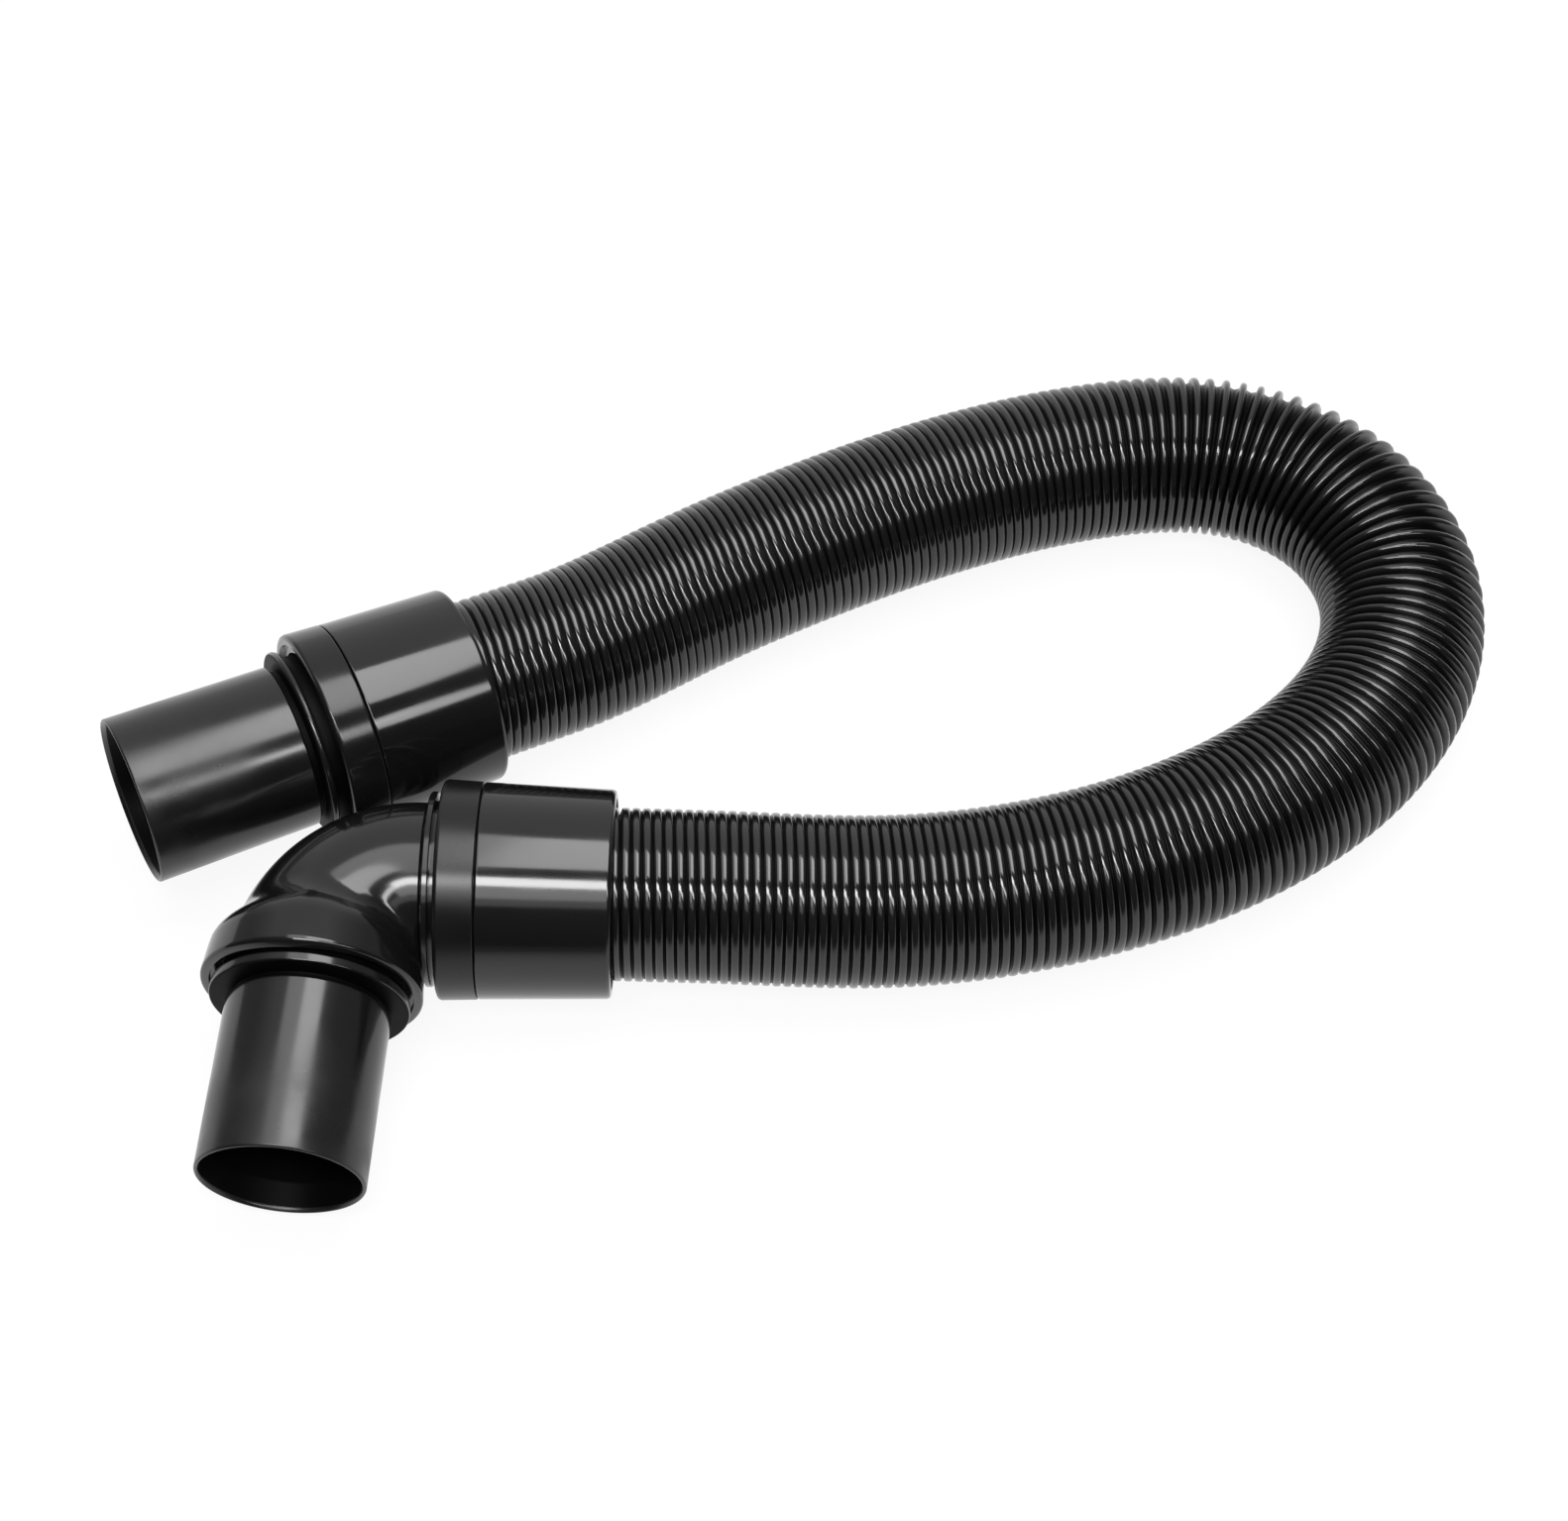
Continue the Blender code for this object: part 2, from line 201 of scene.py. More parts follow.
def mixed_colours(tree, share, first_colour, second_colour, place):
    """Mix two colours by a share; the first is a constant, the second a constant or a socket."""
    made = node(tree, "ShaderNodeMix", place)
    made.data_type = "RGBA"
    made.inputs["A"].default_value = (*first_colour, 1.0)
    if isinstance(second_colour, bpy.types.NodeSocket):
        tree.links.new(second_colour, made.inputs["B"])
    else:
        made.inputs["B"].default_value = (*second_colour, 1.0)
    tree.links.new(share, made.inputs["Factor"])
    return made.outputs["Result"]


# %% Moulded black plastic
NOISE_RANGE = (0.3, 0.7)
DARKER, LIGHTER = 0.75, 1.30
GRAIN_HEIGHT = 0.0012


def varied_roughness(tree, flow, height, gloss, worn):
    """Roughness that drifts between two values, with wear that grows along the piece."""
    rough = map_range(tree, flow, (-650, 100), NOISE_RANGE, gloss)
    if worn is None:
        return rough
    wear = map_range(tree, height, (-650, -120), worn[:2], (0.0, 1.0))
    most = map_range(tree, flow, (-650, -400), NOISE_RANGE, worn[2:])
    marks = combined(tree, "MULTIPLY", wear, most, (-450, -120))
    return combined(tree, "ADD", rough, marks, (-250, 50))


def relief(tree, flow, spot, height, wave, streaks):
    """Normal with the mould's slow waves, a fine grain and, if streaks isn't 0, turned marks."""
    grain = node(tree, "ShaderNodeTexNoise", (-1050, 0), Vector=spot, Scale=2.4, Detail=3.0)
    dents = node(tree, "ShaderNodeBump", (-450, -500), Strength=1.0, Distance=wave * MM, Height=flow)
    fine_relief = node(tree, "ShaderNodeBump", (-250, -500), Strength=1.0, Distance=GRAIN_HEIGHT * MM,
                       Height=grain.outputs["Fac"], Normal=dents.outputs["Normal"]).outputs["Normal"]
    if not streaks:
        return fine_relief
    turned_marks = node(tree, "ShaderNodeTexNoise", (-850, -300), Scale=2.2, Detail=5.0, Roughness=0.7)
    turned_marks.noise_dimensions = "1D"
    tree.links.new(height, turned_marks.inputs["W"])
    return node(tree, "ShaderNodeBump", (-50, -500), Strength=1.0, Distance=streaks * MM,
                Height=turned_marks.outputs["Fac"], Normal=fine_relief).outputs["Normal"]


def moulded_plastic(name, colour, gloss, axis, wave=0.010, streaks=0.0, worn=None, shine=0.5):
    """Glossy moulded plastic; gloss is its lowest and highest roughness, streaks are turned marks.

    worn is where wear begins and is full, in mm along the piece, and the least and most it adds.
    """
    finish = bpy.data.materials.new(name)
    finish.use_nodes = True
    tree = finish.node_tree
    shader = tree.nodes["Principled BSDF"]
    shader.inputs["Specular IOR Level"].default_value = shine
    spot = axis_coordinates(tree, axis)
    height = node(tree, "ShaderNodeSeparateXYZ", (-1050, -300), Vector=spot).outputs["Z"]
    flow = node(tree, "ShaderNodeTexNoise", (-1050, 300), Vector=spot, Scale=0.055, Detail=4.0)
    flow = flow.outputs["Fac"]
    darker, lighter = ([share * c for c in colour] for share in (DARKER, LIGHTER))
    tone = mixed_colours(tree, flow, darker, lighter, (-500, 400))
    tree.links.new(tone, shader.inputs["Base Color"])
    rough = varied_roughness(tree, flow, height, gloss, worn)
    tree.links.new(rough, shader.inputs["Roughness"])
    tree.links.new(relief(tree, flow, spot, height, wave, streaks), shader.inputs["Normal"])
    return finish


BLACK = (0.0040, 0.0040, 0.0042)
BAND_BLACK = (0.0044, 0.0043, 0.0047)
PAINTED_SHADE_BLACK = (0.0016, 0.0016, 0.0016)
straight_gloss = moulded_plastic("straight_sleeve_black", BLACK, (0.09, 0.13), straight_axis)
elbow_gloss = moulded_plastic("elbow_sleeve_black", BLACK, (0.10, 0.14), elbow_cuff_axis)
straight_band = moulded_plastic("straight_band_black", BAND_BLACK, (0.14, 0.20), straight_axis,
                                streaks=0.006, shine=0.38)
elbow_band = moulded_plastic("elbow_band_black", BAND_BLACK, (0.24, 0.31), elbow_cuff_axis,
                             streaks=0.008, shine=0.33)
straight_tube = moulded_plastic("straight_spigot_black", BLACK, (0.13, 0.18), straight_axis,
                                worn=(12.0, 44.0, 0.05, 0.20))
elbow_tube = moulded_plastic("elbow_spigot_black", BLACK, (0.12, 0.17), bell_axis,
                             worn=(17.0, 36.0, 0.06, 0.26))
elbow_bend = moulded_plastic("elbow_black", BLACK, (0.10, 0.15), elbow_axis, wave=0.012)
# Painted shade for hollows: a darker, rough black with almost no shine, for the groove by a collar,
# the bore and the neck.
straight_groove_shade = moulded_plastic("straight_groove_shade_black", PAINTED_SHADE_BLACK, (0.40, 0.50), straight_axis,
                                  shine=0.05)
bell_groove_shade = moulded_plastic("bell_groove_shade_black", PAINTED_SHADE_BLACK, (0.40, 0.50), bell_axis, shine=0.05)
print("plastics:", len([m for m in bpy.data.materials if m.name.endswith("black")]))

# %% [markdown]
# ## Turned pieces
#
# A cap, a sleeve or a spigot is the same all the way round, so its shape is one outline spun about
# its axis. It could be a cylinder with edge loops, but an outline holds every step, groove and lip
# at its true radius. The outline starts as a flat face, because bevelling the corners of a face
# rounds them all at once. Moulded corners are never sharp, and it is the rounded ones that catch the
# bright lines in the photograph. The face is then deleted, long edges are cut close to their ends, so
# that a corner's soft shading doesn't run into the flat beside it, and the edges are spun.

# %% Spin an outline into a piece
STEPS = 128
HOLD = 0.25
MERGE = 0.000002


def hold_ends(shape):
    """Cut every long edge of an outline HOLD millimetres from each of its ends."""
    for edge in [edge for edge in shape.edges if edge.calc_length() > 5.0 * HOLD * MM]:
        first, last = edge.verts
        step = (last.co - first.co).normalized() * HOLD * MM
        near = shape.verts.new(first.co + step)
        far = shape.verts.new(last.co - step)
        shape.edges.remove(edge)
        for pair in ((first, near), (near, far), (far, last)):
            shape.edges.new(pair)


def rounded_outline(outline, rounding):
    """Edges of a closed outline of (radius, height) corners in the XZ plane, corners rounded."""
    shape = bmesh.new()
    corners = [shape.verts.new((radius * MM, 0.0, height * MM)) for radius, height in outline]
    face = shape.faces.new(corners)
    if rounding:
        bmesh.ops.bevel(shape, geom=corners, offset=rounding * MM, offset_type="OFFSET", segments=3,
                        profile=0.5, affect="VERTICES", material=-1, clamp_overlap=True)
    bmesh.ops.delete(shape, geom=list(shape.faces), context="FACES_ONLY")
    hold_ends(shape)
    return shape


def mesh_from(name, shape):
    """Mesh with the faces of a bmesh, which is freed."""
    mesh = bpy.data.meshes.new(name)
    shape.to_mesh(mesh)
    shape.free()
    return mesh


def finish_piece(name, shape, place, finishes, body, nodes, sharp=32.0):
    """Turn a bmesh into an object at the origin, placed in its mesh, on its body, hiding its solids.
    """
    bmesh.ops.remove_doubles(shape, verts=shape.verts, dist=MERGE)
    bmesh.ops.recalc_face_normals(shape, faces=shape.faces)
    bmesh.ops.transform(shape, matrix=place, verts=shape.verts)
    mesh = mesh_from(name, shape)
    mesh.polygons.foreach_set("use_smooth", [True] * len(mesh.polygons))
    mesh.set_sharp_from_angle(angle=radians(sharp))
    for finish in finishes:
        mesh.materials.append(finish)
    piece = placed(name, mesh)
    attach(piece, body)
    if nodes:
        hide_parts(*nodes)
    print(name, "has", len(mesh.polygons), "faces")
    return piece


def turned(outline, rounding=0.18, turn=2.0 * pi, steps=STEPS):
    """Spin a rounded outline about Z, as a closed ring or as an open sector."""
    shape = rounded_outline(outline, rounding)
    full = abs(turn - 2.0 * pi) < 0.001
    bmesh.ops.spin(shape, geom=shape.verts[:] + shape.edges[:], cent=(0, 0, 0), axis=(0, 0, 1),
                   angle=turn, steps=steps, use_merge=full)
    return shape


# %% [markdown]
# ## Caps and sleeves
#
# Each cuff is a long gripping sleeve with a short band snapped over its front. The sleeve tapers a
# little towards the hose, as a moulding must to leave its mould. The band keeps the swivel
# together: its lip holds the spigot's collar, and behind the lip runs the groove of a split ring. On
# the photograph a thin dark line parts band and sleeve, so the two are separate pieces that don't
# quite touch. The band has the finest of turned marks, and the sleeve is smooth.

# %% Bands and sleeves of both cuffs
CAP = (
    (28.7, 0.0), (29.5, -0.35), (29.8, -1.1), (29.4, -10.35), (29.2, -10.6), (27.9, -10.6),
    (27.9, -6.5), (26.2, -6.5), (26.2, -3.4), (24.4, -3.4), (24.4, -1.2), (26.7, -1.2), (27.1, 0.0),
)
SLEEVE = (
    (27.6, -6.8), (27.6, -10.95), (29.1, -10.95), (29.3, -11.2), (28.3, -45.4), (27.95, -46.2),
    (27.0, -46.5), (26.0, -46.5), (26.0, -24.0), (18.4, -24.0), (18.4, -21.5), (24.7, -21.5),
    (24.7, -6.8),
)
for end, axis, gloss, band in (
    ("straight", straight_axis, straight_gloss, straight_band),
    ("elbow", elbow_cuff_axis, elbow_gloss, elbow_band),
):
    finish_piece(end + "_band", turned(CAP), axis, [band], "hose_and_cuffs", [end + "_cap"])
    finish_piece(end + "_grip", turned(SLEEVE, rounding=0.16), axis, [gloss], "hose_and_cuffs",
                 [end + "_sleeve"])

# %% [markdown]
# ## Spigots
#
# A spigot is a plain tube with a narrow collar in front of the band and a neck that turns inside the
# cuff. On the photograph the collar is a bright ring between two black ones. The black ring on the
# band's side is the gap, and the other one is a groove between collar and tube. Gloss would fill the
# groove and the bore with mirrored light, so their faces get a second finish of painted shade: a
# darker black that is rough and almost without shine. The mouth's edge is rounded, and the bore widens
# slightly towards the mouth.

# %% Straight spigot and elbow spigot
NECK, LIP_NECK, DEEP_NECK, SEAL_SEAT = 23.4, 23.9, 22.6, 22.0
COLLAR, COLLAR_CORNER = 26.4, 26.1
SEAL_HALF = 1.4
LONG_SEAL, SHORT_SEAL = -15.4, -9.4
WALL_MIDDLE = 1.35
# Where the painted shade finish reaches, in mm.
SHADE_REACH, SHADE_START, SHADE_MARGIN = 26.2, 0.3, 0.1


def neck_outline(inner_end, seal):
    """Outer side of a swivelling neck from its collar inwards: lip neck, ring groove, seal groove."""
    return (
        (LIP_NECK, -3.4), (DEEP_NECK, -3.4), (DEEP_NECK, -6.8), (NECK, -6.8),
        (NECK, seal + SEAL_HALF), (SEAL_SEAT, seal + SEAL_HALF), (SEAL_SEAT, seal - SEAL_HALF),
        (NECK, seal - SEAL_HALF), (NECK, inner_end),
    )


def square_ring(front, rear):
    """Collar's rim with two small corners."""
    return ((26.0, front), (COLLAR, front - 0.4), (COLLAR, rear + 0.3), (COLLAR_CORNER, rear))


def round_ring(front, rear):
    """Collar's rim as half a circle, from its front to its rear."""
    middle, half = 0.5 * (front + rear), 0.5 * (front - rear)
    angles = [radians(90.0 - 22.5 * i) for i in range(9)]
    return tuple((COLLAR - half + half * cos(a), middle + half * sin(a)) for a in angles)


def collar_outline(foot, groove, heights, ring=square_ring):
    """Collar ring and the groove before it, from the tube's foot at a radius to the lip's neck."""
    tube, front, rear = heights
    deep = foot - groove
    way_in = ((foot, tube), (foot - 0.3, tube - 0.35), (deep, tube - 0.5), (deep, front + 0.1))
    return way_in + ring(front, rear) + ((LIP_NECK, rear),)


def paint_shade_inside(shape, foot, heights):
    """Give the second finish, painted shade, to the bore, the groove by the collar and the neck behind
    the collar.
    """
    tube, front, rear = heights
    for face in shape.faces:
        middle = face.calc_center_median() / MM
        out = middle.xy.length
        in_bore = out < foot - WALL_MIDDLE
        in_groove = out < SHADE_REACH and front - SHADE_START < middle.z < tube - SHADE_MARGIN
        on_neck = out < SHADE_REACH and middle.z < rear - SHADE_MARGIN
        # Faces with index 1 get the painted shade finish.
        face.material_index = int(in_bore or in_groove or on_neck)
    return shape


STRAIGHT_FOOT, BELL_FOOT, ELBOW_FOOT = 23.0, 21.8, 23.3
STRAIGHT_COLLAR, BELL_COLLAR, ELBOW_COLLAR = (7.5, 5.2, 2.9), (6.3, 4.3, 1.5), (4.3, 3.4, 1.5)
STRAIGHT_MOUTH_EDGE = ((22.75, 53.5), (23.15, 53.5), (23.5, 53.1))
STRAIGHT_BORE = ((20.3, -20.5), (20.3, 20.0), (20.9, 49.5), (22.1, 52.6))
ELBOW_MOUTH_EDGE = ((21.1, 53.5), (21.6, 53.5), (21.95, 53.1), (21.8, 27.0))
ELBOW_BORE = ((19.3, -12.2), (19.4, 46.0), (20.7, 52.8))
long_neck = neck_outline(-20.5, LONG_SEAL)

outer = STRAIGHT_MOUTH_EDGE + collar_outline(STRAIGHT_FOOT, 1.8, STRAIGHT_COLLAR, round_ring)
tube_shape = turned(outer + long_neck + STRAIGHT_BORE, rounding=0.12)
finish_piece("straight_tube", paint_shade_inside(tube_shape, STRAIGHT_FOOT, STRAIGHT_COLLAR), straight_axis,
             [straight_tube, straight_groove_shade], "straight_end", ["straight_spigot"])

outer = ELBOW_MOUTH_EDGE + collar_outline(BELL_FOOT, 1.5, BELL_COLLAR)
tube_shape = turned(outer + neck_outline(-12.2, SHORT_SEAL) + ELBOW_BORE, rounding=0.22)
finish_piece("elbow_tube", paint_shade_inside(tube_shape, BELL_FOOT, BELL_COLLAR), bell_axis,
             [elbow_tube, bell_groove_shade], "elbow_end", ["elbow_spigot"])

# %% [markdown]
# ## The elbow
#
# The elbow is one moulding: a neck that turns in the cuff, a bend of 87 degrees, and a bell that
# takes the spigot. Bending one tube and swelling its end would fold the mesh on the inside of the
# bend, where the bell is wider than the bend's own radius. So it is made as a toolmaker makes the
# cavity. Two outer shapes are spun and joined into one, then the bore and the bell's pocket are cut
# out. The Boolean's exact solver needs closed shapes, so each chain of points starts and ends on its
# axis.

# %% Solids for the elbow
def spun_solid(chain, steps=STEPS):
    """Closed solid from a chain of (radius, height) points, first and last on the axis."""
    shape = bmesh.new()
    dots = [shape.verts.new((radius * MM, 0.0, height * MM)) for radius, height in chain]
    for first, second in zip(dots, dots[1:]):
        shape.edges.new((first, second))
    bmesh.ops.spin(shape, geom=shape.verts[:] + shape.edges[:], cent=(0, 0, 0), axis=(0, 0, 1),
                   angle=2.0 * pi, steps=steps, use_merge=True)
    bmesh.ops.remove_doubles(shape, verts=shape.verts, dist=MERGE)
    return shape


def bent_solid(chain, bend_steps=44):
    """Solid that follows the chain along the cuff's axis and then the bend, closed at both ends."""
    shape = spun_solid(chain)
    bmesh.ops.transform(shape, matrix=cuff_front, verts=shape.verts)
    rim = [edge for edge in shape.edges if edge.is_boundary]
    hub = Vector((BEND_REACH, -BEND_RADIUS, 0.0)) * MM
    bmesh.ops.spin(shape, geom=rim + list({v for edge in rim for v in edge.verts}), cent=hub,
                   axis=(0, 0, 1), angle=BEND_TURN, steps=bend_steps)
    last = [edge for edge in shape.edges if edge.is_boundary]
    bmesh.ops.contextual_create(shape, geom=last)
    return shape


def scratch_solid(name, shape, place=Matrix()):
    """Closed solid for a Boolean, set in its place, with its normals outwards."""
    bmesh.ops.transform(shape, matrix=place, verts=shape.verts)
    bmesh.ops.recalc_face_normals(shape, faces=shape.faces)
    return placed(name, mesh_from(name, shape))


bend_start = CUFF_REACH - BEND_REACH
neck = reversed(collar_outline(ELBOW_FOOT, 1.1, ELBOW_COLLAR) + long_neck)
pipe = scratch_solid("elbow_pipe", bent_solid(((0.0, -20.5), *neck, (ELBOW_FOOT, bend_start))))
bore = scratch_solid("elbow_bore", bent_solid(((0.0, -22.0), (20.3, -22.0), (20.3, bend_start))))
BELL = (
    (0.0, -14.4), (22.0, -14.4), (23.6, -14.15), (25.2, -13.55), (26.6, -12.6), (27.6, -11.4),
    (28.25, -9.9), (28.6, -7.8), (29.3, -1.3), (29.35, -0.8), (29.25, -0.4), (28.95, -0.1),
    (28.6, 0.0), (0.0, 0.0),
)
POCKET = (
    (0.0, -12.7), (24.7, -12.7), (24.7, -6.8), (26.2, -6.8), (26.2, -3.4), (24.4, -3.4),
    (24.4, -1.2), (26.7, -1.2), (27.1, 0.4), (0.0, 0.4),
)
bell = scratch_solid("bell", spun_solid(BELL), bell_place)
pocket = scratch_solid("bell_pocket", spun_solid(POCKET), bell_place)
print("elbow scratch solids:", [len(o.data.polygons) for o in (pipe, bore, bell, pocket)], "faces")

# %% [markdown]
# The three Booleans run as modifiers on the pipe and are applied by reading the evaluated mesh, which
# is then cut into triangles because its vertices will move.

# %% Join and cut the elbow
for other, operation in ((bell, "UNION"), (bore, "DIFFERENCE"), (pocket, "DIFFERENCE")):
    step = pipe.modifiers.new(operation.title(), "BOOLEAN")
    step.operation = operation
    step.solver = "EXACT"
    step.object = other
cut = bpy.data.meshes.new_from_object(pipe.evaluated_get(bpy.context.evaluated_depsgraph_get()))
for other in (pipe, bore, bell, pocket):
    bpy.data.objects.remove(other, do_unlink=True)
elbow_shape = bmesh.new()
elbow_shape.from_mesh(cut)
bmesh.ops.triangulate(elbow_shape, faces=elbow_shape.faces)
print("elbow has", len(elbow_shape.faces), "triangles")

# %% [markdown]
# A hard crease is left where the bend runs into the bell. On the photograph the top of the moulding
# swells without any crease, and only at the sides the shoulder is short. A bevel can't follow the
# ragged edge a Boolean leaves, so the skin is moved instead. The distance of a point from the bend and
# from the bell are both known, and a smooth minimum of the two describes a blended shape. Each vertex
# near the crease slides along the slope of that number until it reads nought. The blend is wide on
# top and narrow at the sides.

# %% Distances from the bend and from the bell, in millimetres
SIDE_BLEND, TOP_BLEND = 4.0, 10.0
FAR = 1000.0
hub = np.array((BEND_REACH, -BEND_RADIUS, 0.0))
bell_line = np.array(bell_way)
arc = np.linspace(0.5 * pi, 0.5 * pi + BEND_TURN, 160)
bend_arc = hub + BEND_RADIUS * np.column_stack([np.cos(arc), np.sin(arc), 0.0 * arc])
cuff_run = np.array([(x, 0.0, 0.0) for x in np.linspace(45.0, BEND_REACH, 80)])
bell_run = bend_arc[-1] + bell_line * np.linspace(0.0, 12.0, 50)[:, None]
BEND_LINE = np.vstack([cuff_run, bend_arc, bell_run])


def from_outline(radius, height, outline):
    """Signed distance of points from an outline of (radius, height) corners, negative inside."""
    nearest, inside = np.full(len(radius), FAR), np.zeros(len(radius), dtype=bool)
    for (r0, h0), (r1, h1) in zip(outline, outline[1:]):
        dr, dh = r1 - r0, h1 - h0
        share = np.clip(((radius - r0) * dr + (height - h0) * dh) / (dr * dr + dh * dh), 0.0, 1.0)
        nearest = np.minimum(nearest, np.hypot(radius - r0 - share * dr, height - h0 - share * dh))
        if h0 != h1:
            beside = radius < r0 + dr * (height - h0) / dh
            inside ^= ((h0 > height) != (h1 > height)) & beside
    return np.where(inside, -nearest, nearest)


def both_distances(spots):
    """Distances of points from the bend's skin and the bell's skin, and the blend's width there."""
    gaps = np.linalg.norm(spots[:, None, :] - BEND_LINE[None, :, :], axis=2)
    to_bend = gaps.min(axis=1) - ELBOW_FOOT
    away_from_rim = spots - bell_line * BELL_REACH
    height = away_from_rim @ bell_line
    out = away_from_rim - height[:, None] * bell_line
    radius = np.linalg.norm(out, axis=1)
    way_out = out / np.maximum(radius, 0.001)[:, None]
    top_share = np.clip(way_out[:, 2], 0.0, 1.0) ** 2 * np.clip(1.0 - way_out[:, 0], 0.0, 1.0)
    width = SIDE_BLEND + (TOP_BLEND - SIDE_BLEND) * top_share
    return to_bend, from_outline(radius, height, BELL), width


def blend_distance(spots):
    """Smooth minimum of the two distances."""
    to_bend, to_bell, width = both_distances(spots)
    closeness = np.maximum(width - np.abs(to_bend - to_bell), 0.0) / width
    return np.minimum(to_bend, to_bell) - 0.25 * width * closeness**2


# %% Slide the skin on to the blended shape
movable = list(elbow_shape.verts)
spots = np.array([tuple(v.co) for v in movable]) / MM
to_bend, to_bell, width = both_distances(spots)
SKIN_DEPTH, NUDGE, LEAST_SLOPE, PASSES = 0.06, 0.05, 0.05, 6
on_skin = np.abs(np.minimum(to_bend, to_bell)) < SKIN_DEPTH
near = on_skin & (np.abs(to_bend - to_bell) < width)
skin = spots[near]
for _ in range(PASSES):
    value = blend_distance(skin)
    nudged = [blend_distance(skin + NUDGE * way) for way in np.eye(3)]
    slope = np.column_stack([(moved - value) / NUDGE for moved in nudged])
    skin = skin - slope * (value / np.maximum((slope**2).sum(axis=1), LEAST_SLOPE))[:, None]
for vertex, spot in zip([v for v, moved in zip(movable, near) if moved], skin):
    vertex.co = Vector(spot) * MM
furthest = np.abs(skin - spots[near]).max()
print("blended", int(near.sum()), "vertices, by at most", round(float(furthest), 2), "mm")
elbow = finish_piece("elbow", elbow_shape, swivel_frame, [elbow_bend], "elbow",
                     ["elbow_body"], sharp=35.0)

# %% [markdown]
# ## Hidden working parts
#
# Inside each swivel sit a sprung split ring and a round rubber seal, and inside each cuff a collar
# grips the hose. They show only when the part is taken apart, yet each is its own piece and gets its
# own stuff: natural acetal for the rings, matt rubber for the seals, dull plastic for the collars.
# The split ring is the same spin as before, stopped short of a full turn, with its two ends filled.

# %% Rings, seals and collars
def inner_finish(name, colour, gloss, axis, subsurface=0.0):
    """Dull moulded or rubber finish with a soft grain."""
    finish = moulded_plastic(name, colour, gloss, axis, wave=0.02)
    finish.node_tree.nodes["Principled BSDF"].inputs["Subsurface Weight"].default_value = subsurface
    return finish


RING = ((25.9, -3.7), (25.9, -6.5), (22.9, -6.5), (22.9, -3.7))
RING_GAP = radians(19.0)
RING_STEPS = 120
SEAL_RADIUS, SEAL_THICKNESS, SEAL_SIDES = 23.35, 1.05, 16
HOSE_COLLAR = ((25.6, -24.3), (25.6, -45.6), (23.9, -45.6), (23.9, -24.3))


def split_ring():
    """Square ring with a gap at the top, made by a spin that stops short and has its ends filled."""
    shape = turned(RING, rounding=0.25, turn=2.0 * pi - RING_GAP, steps=RING_STEPS)
    bmesh.ops.holes_fill(shape, edges=[edge for edge in shape.edges if edge.is_boundary])
    bmesh.ops.rotate(shape, matrix=Matrix.Rotation(0.5 * (pi + RING_GAP), 3, "Z"), verts=shape.verts)
    return shape


def seal_ring(middle):
    """Round rubber ring whose section's centre is at the height given."""
    angles = [2 * pi * i / SEAL_SIDES for i in range(SEAL_SIDES)]
    thick = SEAL_THICKNESS
    section = [(SEAL_RADIUS + thick * cos(a), middle - thick * sin(a)) for a in angles]
    return turned(section, rounding=0.0)


for end, axis, middle, body in (
    ("straight", straight_axis, LONG_SEAL, "straight_end"),
    ("elbow", elbow_axis, LONG_SEAL, "elbow"),
    ("bell", bell_axis, SHORT_SEAL, "elbow_end"),
):
    acetal = inner_finish(end + "_acetal", (0.60, 0.59, 0.55), (0.35, 0.50), axis, subsurface=0.1)
    rubber = inner_finish(end + "_rubber", (0.012, 0.012, 0.012), (0.60, 0.80), axis)
    finish_piece(end + "_snap_ring", split_ring(), axis, [acetal], body, [end + "_split_ring"])
    finish_piece(end + "_o_ring", seal_ring(middle), axis, [rubber], body, [end + "_seal"])
for end, axis in (("straight", straight_axis), ("elbow", elbow_cuff_axis)):
    dull = inner_finish(end + "_collar_black", (0.022, 0.022, 0.024), (0.45, 0.60), axis)
    finish_piece(end + "_hose_grip", turned(HOSE_COLLAR), axis, [dull], "hose_and_cuffs",
                 [end + "_hose_collar"])

# %% [markdown]
# ## The hose's route
#
# The hose leaves the elbow's cuff, lies on the floor in a U and comes back into the straight cuff.
# Its middle line passes through a short list of points, the same as in the solids, joined by a
# smooth curve that leaves each cuff straight. A drawn curve object could hold the line too, but the
# ribs need to know the length along it, so the curve is worked out here as a row of points.

# %% Middle line of the hose, in metres
HOSE_START = Vector((0.04943, -0.00243, 0.02885))
HOSE_END = Vector((0.00606, 0.05552, 0.02982))
STRAIGHT_RUN = 0.047
CREST = 0.0235
ROUTE = (
    (0.1451, 0.0006, 0.0247), (0.1790, 0.0063, 0.0238), (0.2120, 0.0167, 0.0235),
    (0.2428, 0.0320, 0.0235), (0.2697, 0.0534, 0.0235), (0.2886, 0.0820, 0.0235),
    (0.2926, 0.1157, 0.0235), (0.2768, 0.1458, 0.0235), (0.2465, 0.1611, 0.0235),
    (0.2122, 0.1603, 0.0235), (0.1790, 0.1513, 0.0235), (0.1471, 0.1383, 0.0235),
    (0.1163, 0.1226, 0.0235), (0.0866, 0.1049, 0.0236),
)


